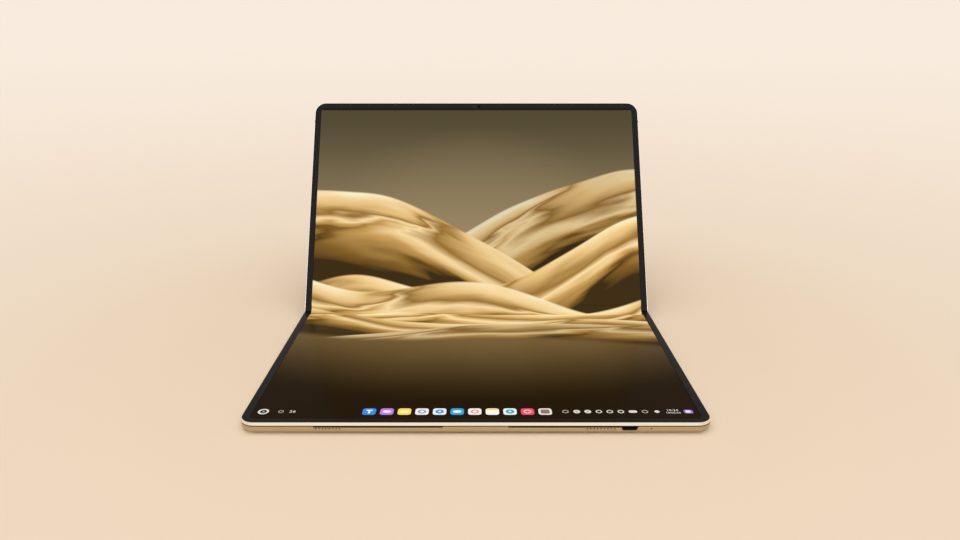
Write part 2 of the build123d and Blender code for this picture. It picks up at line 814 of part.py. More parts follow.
def antenna_boxes():
    """Rooms of the antenna breaks in the lid's side edges."""
    v = half_length - antenna_from_top
    boxes = []
    for side in (-1, 1):
        x0, x1 = sorted((side * (width / 2 - antenna_depth), side * width))
        boxes.append(bar(x0, x1, v - antenna_length / 2, v + antenna_length / 2, shell_round, half_thickness))
    return boxes


def antenna_breaks():
    """Plastic breaks in the lid's side edges, flush with the shell and the rim."""
    taper = Vector(bevel_in, bevel_drop).get_angle(Vector(0, 1))
    rim = Pos(0, 0, frame_z) * extrude(plan(0, -corner_radius), rebate_z - frame_z, taper=taper)
    whole = shell_body() + rim
    return [whole & box for box in antenna_boxes()]


def lid_battery():
    """Flat battery over the kickstand's pocket."""
    return rounded_box(0, stand_v, island_z, lid_battery_width, lid_battery_length, lid_battery_thickness, 3.0)


def driver_board():
    """Display driver board along the top of the lid."""
    v = half_length - shell_wall - driver_gap - driver_length / 2
    return rounded_box(driver_x, v, shell_floor, driver_width, driver_length, driver_thickness)


def camera():
    """Camera module with its lens barrel up through the bezel."""
    lens = rod(camera_x, camera_v, frame_z - 1, half_thickness - lens_drop, camera_lens_radius)
    body_v = half_length - shell_wall - camera_wall_gap - camera_length / 2
    body = rounded_box(camera_x, body_v, frame_z - camera_height, camera_width, camera_length, camera_height, 0.5)
    return lens + body


def light_sensor():
    """Light sensor beside the camera."""
    return rod(sensor_x, camera_v, support_z - support_thickness, half_thickness - lens_drop, sensor_radius)


def lid_frame():
    """Rim of the lid with its lens holes and the rooms of its antenna breaks."""
    part = lens_holes(frame())
    for box in antenna_boxes():
        part -= box
    return part


def lens_holes(part):
    """Cut the lens and sensor holes through a piece of the lid's front."""
    part -= rod(camera_x, camera_v, 0, half_thickness + 1, camera_lens_radius + lens_clearance)
    bottom = support_z - support_thickness
    return part - rod(sensor_x, camera_v, bottom, half_thickness + 1, sensor_radius + lens_clearance)


def turn(shape, axis, angle):
    """Turn a shape about a line along x through a point of the y-z plane."""
    return shape.rotate(Axis((0, axis[0], axis[1]), (1, 0, 0)), angle)


def to_spine(shape):
    """Fold a piece of the spine up from the base."""
    return turn(shape, base_axis, fold_half)


def to_lid(shape):
    """Fold a piece of the lid up from the spine, and with it."""
    return to_spine(turn(shape, lid_axis, fold_half))


def rest_wing():
    """Wing plate tilted for the rest angle, on its own half."""
    return turn(wing(), (bend_start, wing_bead_z), wing_ratio * fold_half)


pieces = {
    "base_cover": to_base(base_shell()),
    "base_frame": to_base(frame()),
    "base_bezel": to_base(bezel()),
    "base_display": to_base(panel()),
    "base_display_support": to_base(support()),
    "front_grille_left": to_base(grille_bar(-1)),
    "front_grille_right": to_base(grille_bar(1)),
    "charging_port": to_base(port()),
    "microphone": to_base(microphone()),
    "mainboard": to_base(mainboard()),
    "heat_spreader": to_base(heat_spreader()),
    "base_battery": to_base(base_battery()),
    "speaker_left": to_base(speaker(speaker_hole_left_x)),
    "speaker_right": to_base(speaker(speaker_hole_right_x)),
    "rubber_feet": [to_base(foot) for foot in feet()],
    "base_magnets": [to_base(magnet) for magnet in magnets()],
    "base_arm_screws": [to_base(screw) for screw in arm_screws(-1)],
    "power_button": to_base(button(power_length, power_v, 1)),
    "volume_key": to_base(button(volume_length, volume_v, -1)),
    "base_wing_plate": to_base(rest_wing()),
    "spine_cover": to_spine(spine_cover()),
    "spine_cap_left": to_spine(spine_cap(-1)),
    "spine_cap_right": to_spine(spine_cap(1)),
    "fold_display": to_spine(bent_strip(width / 2 - panel_inset)),
    "fold_ribbon": to_spine(fold_ribbon()),
    "lid_cover": to_lid(lid_shell()),
    "lid_frame": to_lid(lid_frame()),
    "lid_bezel": to_lid(lens_holes(bezel())),
    "lid_display": to_lid(lens_holes(panel())),
    "lid_display_support": to_lid(lens_holes(support())),
    "lid_battery": to_lid(lid_battery()),
    "display_driver_board": to_lid(driver_board()),
    "camera": to_lid(camera()),
    "light_sensor": to_lid(light_sensor()),
    "lid_magnets": [to_lid(magnet) for magnet in magnets()],
    "lid_arm_screws": [to_lid(screw) for screw in arm_screws(1)],
    "antenna_breaks": [to_lid(piece) for piece in antenna_breaks()],
    "lid_wing_plate": to_lid(rest_wing()),
    "kickstand": to_lid(kickstand()),
    "kickstand_pins": [to_lid(pin) for pin in stand_pins()],
}
for name, x in zip(("left", "middle", "right"), module_x):
    pieces["base_arm_" + name] = to_base(arm(x, -1))
    pieces["rail_block_" + name] = to_spine(rail_block(x))
    pieces["lid_arm_" + name] = to_lid(arm(x, 1))
for name, side in (("left", -1), ("right", 1)):
    place = Pos(side * fan_x, fan_v, shell_floor)
    housing = fan_housing() if side > 0 else mirror(fan_housing(), about=Plane.YZ)
    pieces["fan_housing_" + name] = to_base(place * housing)
    pieces["fan_wheel_" + name] = to_base(place * impeller())

shapes = {name: shape if isinstance(shape, list) else [shape] for name, shape in pieces.items()}
whole = Compound([solid for shape in shapes.values() for part in shape for solid in part.solids()])
box = whole.bounding_box()
origin = Vector((box.min.X + box.max.X) / 2, (box.min.Y + box.max.Y) / 2, box.min.Z)

os.makedirs("parts", exist_ok=True)
for name, shape in shapes.items():
    solids = [solid for part in shape for solid in part.solids()]
    moved = [solid.moved(Location(-origin)) for solid in solids]
    export_step(moved[0] if len(moved) == 1 else Compound(moved), f"parts/{name}.step")


def joint_place(point):
    """Place of a joint's axis in the finished laptop."""
    return [round(value, 4) for value in (Vector(*point) - origin)]


fold_line = Vector(0, *base_axis)
lid_line = to_spine(Vertex(0, *lid_axis)).center()
up_lid = Vector(0, cos(radians(2 * fold_half)), sin(radians(2 * fold_half)))
stand_line = to_lid(Vertex(stand_hinge_x, stand_v, stand_pin_z)).center()
base_wing_line = Vector(0, -bend_start, wing_bead_z)
lid_wing_line = to_lid(Vertex(0, bend_start, wing_bead_z)).center()
print("size", [round(v, 3) for v in (box.size.X, box.size.Y, box.size.Z)])
print("fold axis base", joint_place(fold_line), "lid", joint_place(lid_line))
print("wing axis base", joint_place(base_wing_line), "lid", joint_place(lid_wing_line))
print("kickstand axis", joint_place(stand_line), "along", [round(v, 6) for v in up_lid])
print("fans", joint_place((fan_x, -fan_v, shell_floor)))
print("rest face", joint_place((0, -foot_v[0], -foot_height)), joint_place((0, -foot_v[1], -foot_height)))
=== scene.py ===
"""Looks of a foldable laptop that stands open: gold shells, black borders, the lit display with
its picture and dock, the bend of the display over the fold, the inner pieces and the studio.

Metres throughout. +X is to the right, +Y from the front edge to the lid and +Z up.
"""
import json
import math

import bpy
from bpy.props import FloatProperty, FloatVectorProperty, IntProperty, PointerProperty, StringProperty
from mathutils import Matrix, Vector


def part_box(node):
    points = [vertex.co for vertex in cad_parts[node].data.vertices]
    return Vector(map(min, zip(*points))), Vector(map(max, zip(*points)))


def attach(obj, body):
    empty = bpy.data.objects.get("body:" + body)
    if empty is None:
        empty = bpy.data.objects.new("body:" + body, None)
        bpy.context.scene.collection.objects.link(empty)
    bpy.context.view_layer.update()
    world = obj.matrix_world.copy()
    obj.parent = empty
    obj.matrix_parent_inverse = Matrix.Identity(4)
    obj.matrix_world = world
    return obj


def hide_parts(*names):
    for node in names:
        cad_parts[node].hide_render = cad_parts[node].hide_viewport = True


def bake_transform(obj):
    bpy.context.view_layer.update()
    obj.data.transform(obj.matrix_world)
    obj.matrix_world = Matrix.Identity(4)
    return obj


bl_info = {
    "name": "Foldable laptop looks",
    "version": (1, 0, 0),
    "blender": (4, 5, 0),
    "location": "View3D > Sidebar > Laptop",
    "description": "Dresses the foldable laptop in its finishes and lights it",
    "category": "Object",
}

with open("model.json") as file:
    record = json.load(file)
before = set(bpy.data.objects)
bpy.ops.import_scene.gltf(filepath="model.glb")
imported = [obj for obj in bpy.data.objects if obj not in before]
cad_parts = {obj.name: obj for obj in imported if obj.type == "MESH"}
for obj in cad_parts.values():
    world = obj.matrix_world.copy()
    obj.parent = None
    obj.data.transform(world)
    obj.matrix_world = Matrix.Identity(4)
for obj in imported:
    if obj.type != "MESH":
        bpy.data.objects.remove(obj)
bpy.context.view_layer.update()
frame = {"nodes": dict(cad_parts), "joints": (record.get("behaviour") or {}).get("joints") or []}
JOINTS = {joint["name"]: joint for joint in frame["joints"]}
BASE_AXIS = Vector(JOINTS["base_fold"]["pos_m"])
LID_AXIS = Vector(JOINTS["lid_fold"]["pos_m"])
UP_LID = Vector(JOINTS["kickstand_hinge"]["axis"])
SCREEN_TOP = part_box("base_display")[1].z
HALF_WIDTH = (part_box("base_cover")[1].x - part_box("base_cover")[0].x) / 2
FRONT_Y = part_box("base_cover")[0].y

# Distance of a fold axis from the spine's middle, and the slope of each half over the spine at rest
AXIS_OFFSET = 0.0015
FOLD_ANGLE = math.radians(29.5)

# Slope of a wing plate at rest, a little more than the half's, a slope that no part of the
# display's bend reaches, and how often the search for its own slope halves what lies between
WING_ANGLE = FOLD_ANGLE * 1.09
STEEPEST = math.radians(85)
HALVINGS = 60

# Display in its bend: where each side's bend begins along the display, how much of it lies on the
# wing plate, its radius round the fold and the panel's thickness
BEND_START = 0.012
ON_WING = 0.005
FOLD_RADIUS = 0.0065
PANEL_THICKNESS = 0.0006

# Strips: parts that a straight stretch is made of, cuts across a strip, and the sharpest edge that
# is shaded smooth
STRAIGHT_PARTS = 3
CROSS_CUTS = 15
SMOOTH_ANGLE = math.radians(25)

# Points of the display's bend that lie on a wing plate, and a share of the bend that the bend's
# step puts into a sum it does not keep
WING_POINTS = STRAIGHT_PARTS + 1
BEND_LEAD = 0.175

# Ribbon cable: distance along a half and height over its axis up to the end wall, then radius and
# angle about the fold axis inside the spine
RIBBON_IN_HALF = ((0.017, -0.0014), (0.0076, -0.0014), (0.00705, -0.0012))
RIBBON_IN_SPINE = ((0.00515, 26), (0.00475, 25), (0.00435, 22), (0.0040, 17), (0.0037, 10),
                   (0.0032, -8), (0.0028, -35), (0.0024, -65), (0.002175, -90))
RIBBON_THICKNESS = 0.00025

# Painted shade at the rims' groove, as heights over a half's axis: the soft edge below and the one above
GROOVE_LOW = (-0.00130, -0.00100)
GROOVE_TOP = (-0.00055, -0.00048)

# Painted shade on the sound holes' walls: how far behind the front face and how high it begins
HOLE_DEPTH = (0.00012, 0.00032)
HOLE_HEIGHT = (0.0033, 0.0036)

# Ends of the display's lit area in half widths of the laptop: half its width, its upper end and
# how soft they are
LIT_HALF = 0.9605
LIT_TOP = 1.270
LIT_EDGE = 0.001

# Colours of the film over lit parts, of the unlit ring and of painted shade, and the shells' roughness
UNPAINTED = (0.002, 0.002, 0.002)
UNLIT_RING = (0.0125, 0.012, 0.0115)
PAINTED_SHADE_COLOUR = (0.010, 0.009, 0.008)
SHELL_ROUGHNESS = 0.34

# Studio: places, sizes and colour of the lamps, what they aim at, and the camera
KEY_PLACE = (-0.03, -0.50, 1.7)
FRONT_PLACE = (0.0, -2.2, 1.25)
FRONT_SIZE = (3.0, 1.2)
LAMP_COLOUR = (1.0, 0.985, 0.965)
LAMP_AIM = (0, 0, 0.05)
CAMERA_PLACE = (0.0013, -0.5538, 0.2334)
CAMERA_DROP = math.radians(17.6)
CAMERA_SHIFT = 0.0022
CAMERA_REACH = (0.01, 500.0)

# Floor: its tone, darker round the laptop as painted shade, pales from one share of the way to the
# other, where half way is PALE_DISTANCE from the laptop, and between two distances it turns from lit
# paper into an evenly lit ground
PALE_DISTANCE = 0.8
PALE_SHARES = (0.15, 0.95)
EVEN_DISTANCES = (0.12, 0.45)

# Room: how high over the horizon, as a share of the height overhead, its pale band ends and the
# dimmer part begins, and the tones there and overhead
ROOM_BAND = (0.16, 0.34)
ROOM_DIM = (0.34, 0.325, 0.30)
ROOM_TOP = (0.42, 0.41, 0.40)


# Properties


class ShellSettings(bpy.types.PropertyGroup):
    """Finish of the gold shells and rims."""

    shell_colour: FloatVectorProperty(
        name="Shell colour", description="Anodised gold of the covers", subtype="COLOR",
        size=3, min=0, max=1, default=(0.55, 0.465, 0.295))
    rim_colour: FloatVectorProperty(
        name="Rim colour", description="Polished gold of the bevelled rims", subtype="COLOR",
        size=3, min=0, max=1, default=(0.99, 0.96, 0.89))
    grain_size: FloatProperty(
        name="Grain size", description="Size of the blasted grain of the shells", subtype="DISTANCE",
        unit="LENGTH", min=0.00005, max=0.002, default=0.00022)


class ScreenSettings(bpy.types.PropertyGroup):
    """The lit display."""

    brightness: FloatProperty(
        name="Brightness", description="How strongly the display glows", min=0, max=4, default=1.0)
    sky_colour: FloatVectorProperty(
        name="Upper colour", description="Olive at the picture's top", subtype="COLOR",
        size=3, min=0, max=1, default=(0.082, 0.064, 0.029))
    haze_colour: FloatVectorProperty(
        name="Haze colour", description="Tan haze above the waves", subtype="COLOR",
        size=3, min=0, max=1, default=(0.34, 0.255, 0.135))
    deep_colour: FloatVectorProperty(
        name="Lower colour", description="Dark brown at the picture's foot", subtype="COLOR",
        size=3, min=0, max=1, default=(0.014, 0.006, 0.0))
    shore_colour: FloatVectorProperty(
        name="Shore colour", description="Olive brown just below the waves", subtype="COLOR",
        size=3, min=0, max=1, default=(0.21, 0.128, 0.043))
    bend_steps: IntProperty(
        name="Bend steps", description="Facets of the display's bend on each side",
        min=4, max=40, default=12)


class DockSettings(bpy.types.PropertyGroup):
    """The row of icons along the display's front edge."""

    row_gap: FloatProperty(
        name="Row distance", description="From the front edge to the middle of the row",
        subtype="DISTANCE", unit="LENGTH", min=0.008, max=0.05, default=0.0147)
    first_x: FloatProperty(
        name="First icon", description="Middle of the first icon", subtype="DISTANCE", unit="LENGTH",
        min=-0.12, max=0.12, default=-0.0654)
    pitch: FloatProperty(
        name="Pitch", description="From icon to icon", subtype="DISTANCE", unit="LENGTH",
        min=0.005, max=0.03, default=0.0108)
    icon_size: FloatProperty(
        name="Icon size", description="Side of an icon", subtype="DISTANCE", unit="LENGTH",
        min=0.003, max=0.02, default=0.0082)
    clock: StringProperty(name="Clock", description="Figures of the clock", default="10:24")
    date: StringProperty(name="Date", description="Figures under the clock", default="18/06/30")


class StageSettings(bpy.types.PropertyGroup):
    """Floor, light and camera."""

    # Darker than the far colour: painted shade round the laptop
    shaded_near_colour: FloatVectorProperty(
        name="Near colour", description="Cream of the floor round the laptop", subtype="COLOR",
        size=3, min=0, max=1, default=(0.84, 0.682, 0.517))
    far_colour: FloatVectorProperty(
        name="Far colour", description="Paler cream of the floor and room far away", subtype="COLOR",
        size=3, min=0, max=1, default=(0.947, 0.831, 0.723))
    floor_radius: FloatProperty(
        name="Floor radius", description="Reach of the round floor", subtype="DISTANCE", unit="LENGTH",
        min=2, max=200, default=60.0)
    key_power: FloatProperty(
        name="Key light", description="Power of the large soft lamp overhead", unit="POWER",
        min=0, max=400, default=24.5)
    front_power: FloatProperty(
        name="Front light", description="Power of the wide lamp before the front edge", unit="POWER",
        min=0, max=400, default=19.0)
    key_size: FloatProperty(
        name="Key size", description="Side of the soft lamp", subtype="DISTANCE", unit="LENGTH",
        min=0.1, max=6, default=2.6)
    room_light: FloatProperty(
        name="Room light", description="Strength of the light all round", min=0, max=3, default=1.0)
    lens: FloatProperty(
        name="Lens", description="Focal length of the camera", subtype="DISTANCE_CAMERA",
        min=10, max=200, default=28.83)


# Materials


class Socket:
    """One output of a node. Arithmetic on it adds Math nodes to the same material."""

    def __init__(self, recipe, output):
        self.recipe = recipe
        self.output = output

    def maths(self, operation, *others, clamp=False):
        values = dict(enumerate((self, *others)))
        return self.recipe.node("ShaderNodeMath", {"operation": operation, "use_clamp": clamp}, values)

    def reflected(self, operation, other):
        return self.recipe.node("ShaderNodeMath", {"operation": operation}, {0: other, 1: self})

    def __add__(self, other):
        return self.maths("ADD", other)

    def __radd__(self, other):
        return self.reflected("ADD", other)

    def __sub__(self, other):
        return self.maths("SUBTRACT", other)

    def __rsub__(self, other):
        return self.reflected("SUBTRACT", other)

    def __mul__(self, other):
        return self.maths("MULTIPLY", other)

    def __rmul__(self, other):
        return self.reflected("MULTIPLY", other)

    def __truediv__(self, other):
        return self.maths("DIVIDE", other)

    def __pow__(self, other):
        return self.maths("POWER", other)

    def sine(self):
        return self.maths("SINE")

    def clamped(self):
        return self.maths("ADD", 0.0, clamp=True)

    def smooth(self, low, high):
        """0 below low, 1 above high, and a soft step between."""
        return self.recipe.node("ShaderNodeMapRange", {"interpolation_type": "SMOOTHSTEP"},
                                {"Value": self, "From Min": low, "From Max": high})


class Recipe:
    """A material being written, with the sockets of its one shader."""

    def __init__(self, name, **constants):
        self.material = bpy.data.materials.new(name)
        self.material.use_nodes = True
        self.tree = self.material.node_tree
        self.shader = self.tree.nodes["Principled BSDF"]
        for key, value in constants.items():
            socket = self.shader.inputs[key.replace("_", " ").title().replace("Ior", "IOR")]
            socket.default_value = (*value, 1.0) if socket.type == "RGBA" else value

    def node(self, kind, settings=None, inputs=None, output=0):
        """Add a node: its settings first, then the values or links of its sockets."""
        node = self.tree.nodes.new(kind)
        for key, value in (settings or {}).items():
            if key == "stops":
                ramp = node.color_ramp
                while len(ramp.elements) < len(value):
                    ramp.elements.new(1.0)
                for element, (place, colour) in zip(ramp.elements, value):
                    element.position = place
                    element.color = (*colour, 1.0)
            else:
                setattr(node, key, value)
        for key, value in (inputs or {}).items():
            if isinstance(key, int):
                socket = node.inputs[key]
            else:
                socket = next(item for item in node.inputs if item.enabled and item.name == key)
            if isinstance(value, Socket):
                self.tree.links.new(value.output, socket)
            else:
                socket.default_value = value
        if isinstance(output, str):
            return Socket(self, node.outputs[output])
        return Socket(self, [item for item in node.outputs if item.enabled][output])

    def feed(self, name, value):
        """Link a value to one of the shader's sockets."""
        self.tree.links.new(value.output, self.shader.inputs[name])

    def place(self):
        """Object coordinates, in metres."""
        return self.node("ShaderNodeTexCoord", output="Object")

    def split(self, vector):
        """The three parts of a vector."""
        node = self.tree.nodes.new("ShaderNodeSeparateXYZ")
        self.tree.links.new(vector.output, node.inputs[0])
        return [Socket(self, output) for output in node.outputs]

    def join(self, x, y, z):
        return self.node("ShaderNodeCombineXYZ", inputs={"X": x, "Y": y, "Z": z})

    def mix(self, factor, first, second, blend="MIX"):
        """Mix two colours, each written as three numbers or coming from a node."""
        ends = [end if isinstance(end, Socket) else (*end, 1.0) for end in (first, second)]
        return self.node("ShaderNodeMix", {"data_type": "RGBA", "blend_type": blend},
                         {"Factor": factor, "A": ends[0], "B": ends[1]})

    def noise(self, vector, scale, detail=2.0, roughness=0.5):
        return self.node("ShaderNodeTexNoise", inputs={
            "Vector": vector, "Scale": scale, "Detail": detail, "Roughness": roughness})

    def bump(self, height, distance, strength):
        """Raise the surface by a height from 0 to 1, in metres at 1."""
        self.feed("Normal", self.node("ShaderNodeBump", inputs={
            "Height": height, "Distance": distance, "Strength": strength}))


class RoomRecipe(Recipe):
    """The light of the room, written in the same way."""

    def __init__(self, world):
        world.use_nodes = True
        self.tree = world.node_tree
        self.shader = self.tree.nodes["Background"]


def dress(names, material):
    """Give CAD nodes a material."""
    for name in names:
        for slot in frame["nodes"][name].material_slots:
            slot.material = material


def tinted(recipe, colour, vector, scale, amount):
    """Feed a base colour that varies a little over the surface."""
    patches = recipe.noise(vector, scale, 3.0)
    darker = [value * (1 - amount) for value in colour]
    lighter = [min(1.0, value * (1 + amount)) for value in colour]
    recipe.feed("Base Color", recipe.mix(patches, darker, lighter))
    return patches


def groove_shade_of(origin, direction):
    """1 where shade is painted: a band of heights at the thin groove between a half's rim and its shell.
    """
    def mask(recipe):
        height = from_place(recipe, 0.0, origin, direction) * HALF_WIDTH
        return height.smooth(*GROOVE_LOW) * (1.0 - height.smooth(*GROOVE_TOP))
    return mask


def anodised(name, colour, grain, roughness=SHELL_ROUGHNESS, shade_mask=None):
    """Blasted and anodised metal: a fine even grain with faint cloudiness, and painted shade in its
    hollows.
    """
    recipe = Recipe(name, metallic=1.0)
    place = recipe.place()
    patches = tinted(recipe, colour, place, 30.0, 0.05)
    fine = recipe.noise(place, 1.0 / grain, 2.0, 0.7)
    recipe.feed("Roughness", roughness + 0.06 * (fine - 0.5) + 0.05 * (patches - 0.5))
    recipe.bump(fine, grain * 0.05, 0.5)
    if shade_mask:
        paint_shade(recipe, shade_mask(recipe))
    return recipe.material


def paint_shade(recipe, inside):
    """Paint shade: turn the metal dark and matt where inside is 1."""
    open_face = Socket(recipe, recipe.shader.inputs["Base Color"].links[0].from_socket)
    recipe.feed("Base Color", recipe.mix(inside, open_face, PAINTED_SHADE_COLOUR))
    recipe.feed("Metallic", 1.0 - inside)


def sound_hole_shade(recipe):
    """1 where shade is painted: on the walls of the sound holes, behind the front face, and in the
    groove.
    """
    _, y, z = recipe.split(recipe.place())
    behind = y.smooth(*[FRONT_Y + depth for depth in HOLE_DEPTH])
    holes = behind * z.smooth(*HOLE_HEIGHT)
    return holes.maths("MAXIMUM", base_groove_shade(recipe))


def base_groove_shade(recipe):
    """1 where shade is painted at the base's groove."""
    return groove_shade_of(BASE_AXIS, (0, 0, 1))(recipe)


def lid_groove_shade(recipe):
    """1 where shade is painted at the lid's groove."""
    return groove_shade_of(LID_AXIS, (0, -UP_LID.z, UP_LID.y))(recipe)


def polished(name, colour, shade_mask):
    """Diamond-cut rim: bright, with very fine lines along it and light wear, and painted shade in its
    groove.
    """
    recipe = Recipe(name, metallic=1.0)
    place = recipe.place()
    x, y, z = recipe.split(place)
    lines = recipe.noise(recipe.join(x * 0.2, y * 0.2, z * 30.0), 400.0, 2.0)
    wear = recipe.noise(place, 900.0, 3.0).smooth(0.66, 0.8)
    recipe.feed("Base Color", recipe.mix(lines, [part * 0.97 for part in colour], colour))
    recipe.feed("Roughness", 0.10 + 0.05 * lines + 0.08 * wear)
    paint_shade(recipe, shade_mask(recipe))
    return recipe.material


def moulded(name, colour, roughness, grain=0.0002, height=0.00001, **more):
    """Moulded plastic or rubber with a fine spark-eroded grain."""
    recipe = Recipe(name, **more)
    place = recipe.place()
    tinted(recipe, colour, place, 60.0, 0.08)
    fine = recipe.noise(place, 1.0 / grain, 3.0)
    recipe.feed("Roughness", roughness + 0.12 * (fine - 0.5))
    recipe.bump(fine, height, 0.6)
    return recipe.material


def brushed(name, colour, roughness):
    """Brushed metal, drawn from side to side."""
    recipe = Recipe(name, metallic=1.0)
    x, y, z = recipe.split(recipe.place())
    lines = recipe.noise(recipe.join(x * 20.0, y * 900.0, z * 900.0), 1.0, 3.0)
    recipe.feed("Base Color", recipe.mix(lines, [part * 0.86 for part in colour], colour))
    recipe.feed("Roughness", roughness + 0.14 * (lines - 0.5))
    recipe.bump(lines, 0.00001, 0.4)
    return recipe.material


def circuit(name, along):
    """Solder mask with copper runs under it and small bare pads, on a board that lies along a
    direction."""
    recipe = Recipe(name, roughness=0.38)
    x, y, z = recipe.split(recipe.place())
    far = y * along.y + z * along.z
    flat = recipe.join(x, far, 0.0)
    cells = recipe.node("ShaderNodeTexVoronoi", {"distance": "CHEBYCHEV"},
                        {"Vector": flat, "Scale": 320.0}, output="Distance")
    runs = ((x * 2600.0 + recipe.noise(flat, 90.0, 1.0) * 6.0).sine() * 6.0).clamped()
    masked = recipe.mix(runs, (0.006, 0.045, 0.02), (0.014, 0.085, 0.035))
    pads = 1.0 - cells.smooth(0.10, 0.16)
    recipe.feed("Base Color", recipe.mix(pads, masked, (0.55, 0.40, 0.16)))
    recipe.feed("Metallic", pads)
    recipe.bump(runs, 0.00003, 0.5)
    return recipe.material


# The picture on the display

# Each wave of the picture: height and slope of its crest, its swing, its turns and phase across
# the display, the depth of its shade and how bright it is
WAVES = (
    (0.50, 0.34, 0.10, 2.3, 0.4, 0.52, 0.74),
    (0.40, -0.40, 0.11, 2.6, 2.3, 0.46, 0.94),
    (0.25, 0.20, 0.13, 3.3, 4.5, 0.36, 1.00),
    (0.11, -0.15, 0.08, 3.8, 1.1, 0.30, 0.95),
    (-0.01, 0.10, 0.07, 3.0, 3.3, 0.26, 1.00),
    (-0.13, -0.08, 0.07, 3.6, 5.3, 0.24, 0.90),
    (-0.26, 0.10, 0.06, 2.7, 1.4, 0.26, 0.66),
)

# Shore under the waves: its height, slope, swing, turns and phase
SHORE = (-0.43, -0.10, 0.05, 3.1, 0.2)

# Tones of a wave from its crest downward
SILK = (
    (0.00, (1.00, 0.90, 0.62)),
    (0.05, (1.00, 0.79, 0.43)),
    (0.19, (0.84, 0.56, 0.22)),
    (0.36, (0.34, 0.17, 0.030)),
    (0.50, (1.00, 0.74, 0.37)),
    (0.64, (0.62, 0.36, 0.10)),
    (0.84, (0.22, 0.11, 0.016)),
    (1.00, (0.045, 0.024, 0.004)),
)


def picture(recipe, u, v, settings):
    """Layered golden waves under an olive haze. u runs from -1 to 1 across, v along the display
    from the fold, in the same unit."""
    haze = recipe.mix(v.smooth(1.30, 0.20), settings.sky_colour, settings.haze_colour)
    glow = (1.0 - (u * u * 0.9 + (v - 0.45) * (v - 0.45) * 1.6)).smooth(0.1, 1.0)
    colour = recipe.mix(glow * 0.30, haze, settings.haze_colour)
    for index, (height, slope, swing, turns, phase, depth, light) in enumerate(WAVES):
        warp = recipe.noise(recipe.join(u * 0.9, v * 0.5, index * 3.7), 1.4, 1.0) - 0.5
        crest = height + u * slope + (u * turns + phase).sine() * swing + warp * 0.14
        drop = crest - v
        drawn = recipe.join(u * 1.0 + drop * 0.8, drop * 5.0, index * 5.3)
        threads = recipe.noise(drawn, 2.0, 2.5, 0.45)
        folds = 1.0 - (u * 2.8 + drop * 8.0 + threads * 3.0 + index * 1.9).sine().maths("ABSOLUTE")
        tone = (drop / depth + (threads - 0.5) * 0.42 + folds * folds * 0.30).clamped()
        silk = recipe.node("ShaderNodeValToRGB", {"stops": SILK}, {"Fac": tone})
        lit = recipe.mix(1.0, silk, (light, light, light), blend="MULTIPLY")
        colour = recipe.mix((drop * 90.0).clamped(), colour, lit)
    height, slope, swing, turns, phase = SHORE
    sinking = (v * -1.0 + u * u * 0.20).smooth(0.13, 1.16)
    water = recipe.mix(sinking, settings.shore_colour, settings.deep_colour)
    below = height + u * slope + (u * turns + phase).sine() * swing - v
    return recipe.mix(below.smooth(-0.07, 0.02), colour, water)


def display_material(name, across, along, settings):
    """A lit flexible display under its thin film: the picture glows inside a narrow unlit ring."""
    recipe = Recipe(name, roughness=0.20, specular_ior_level=0.02, emission_strength=settings.brightness)
    u, v = across(recipe), along(recipe)
    beside = u.maths("ABSOLUTE").smooth(LIT_HALF - LIT_EDGE, LIT_HALF)
    unlit = beside.maths("MAXIMUM", v.smooth(LIT_TOP - LIT_EDGE, LIT_TOP))
    recipe.feed("Base Color", recipe.mix(unlit, UNPAINTED, UNLIT_RING))
    recipe.feed("Emission Color", recipe.mix(unlit, picture(recipe, u, v, settings), (0.0, 0.0, 0.0)))
    return recipe.material


def from_place(recipe, axis, origin, direction):
    """Distance along a direction, in half widths, from an origin that itself lies at a distance."""
    parts = zip(recipe.split(recipe.place()), direction)
    steps = [part * (weight / HALF_WIDTH) for part, weight in parts if abs(weight) > 1e-9]
    return sum(steps[1:], steps[0]) - (Vector(origin).dot(Vector(direction)) - axis) / HALF_WIDTH


def across_place(recipe):
    """Place across the display."""
    return from_place(recipe, 0.0, (0, 0, 0), (1, 0, 0))


def along_base(recipe):
    """Place along the display from the fold, on the lower half."""
    return from_place(recipe, -AXIS_OFFSET, BASE_AXIS, (0, 1, 0))


def along_lid(recipe):
    """Place along the display from the fold, on the upper half."""
    return from_place(recipe, AXIS_OFFSET, LID_AXIS, UP_LID)


def own_map(output):
    """Place on the display, read from a strip's own map."""
    def read(recipe):
        uv = recipe.node("ShaderNodeUVMap", {"uv_map": "screen"})
        return recipe.split(uv)[output]
    return read


# Modelling helpers


def fresh(name):
    """Name the object that was just added, alone in the selection."""
    item = bpy.context.object
    item.name = name
    item.data.name = name
    return item


def select_none():
    """Leave edit mode and select nothing."""
    if bpy.context.object and bpy.context.object.mode != "OBJECT":
        bpy.ops.object.mode_set(mode="OBJECT")
    bpy.ops.object.select_all(action="DESELECT")


def pick_only(*items):
    """Select some objects alone, with the first of them active."""
    select_none()
    for item in items:
        item.select_set(True)
    bpy.context.view_layer.objects.active = items[0]


def settle(item):
    """Put an object's place into its mesh, so that it sits at the origin, unturned."""
    pick_only(item)
    bpy.ops.object.transform_apply(location=True, rotation=True, scale=True)
    return item


def edit_all(item):
    """Enter edit mode with all of one object selected."""
    pick_only(item)
    bpy.ops.object.mode_set(mode="EDIT")
    bpy.ops.mesh.select_all(action="SELECT")


def extend(offset):
    """Extrude what is selected by an offset."""
    bpy.ops.mesh.extrude_region_move(TRANSFORM_OT_translate={"value": offset})


def face_outward():
    """Turn all normals outward and leave edit mode."""
    bpy.ops.mesh.select_all(action="SELECT")
    bpy.ops.mesh.normals_make_consistent(inside=False)
    bpy.ops.object.mode_set(mode="OBJECT")


def raise_mark(item, thickness, colour):
    """Give the flat outline that is being edited its thickness and colour."""
    extend((0, 0, thickness))
    face_outward()
    tint(item, colour)
    return item


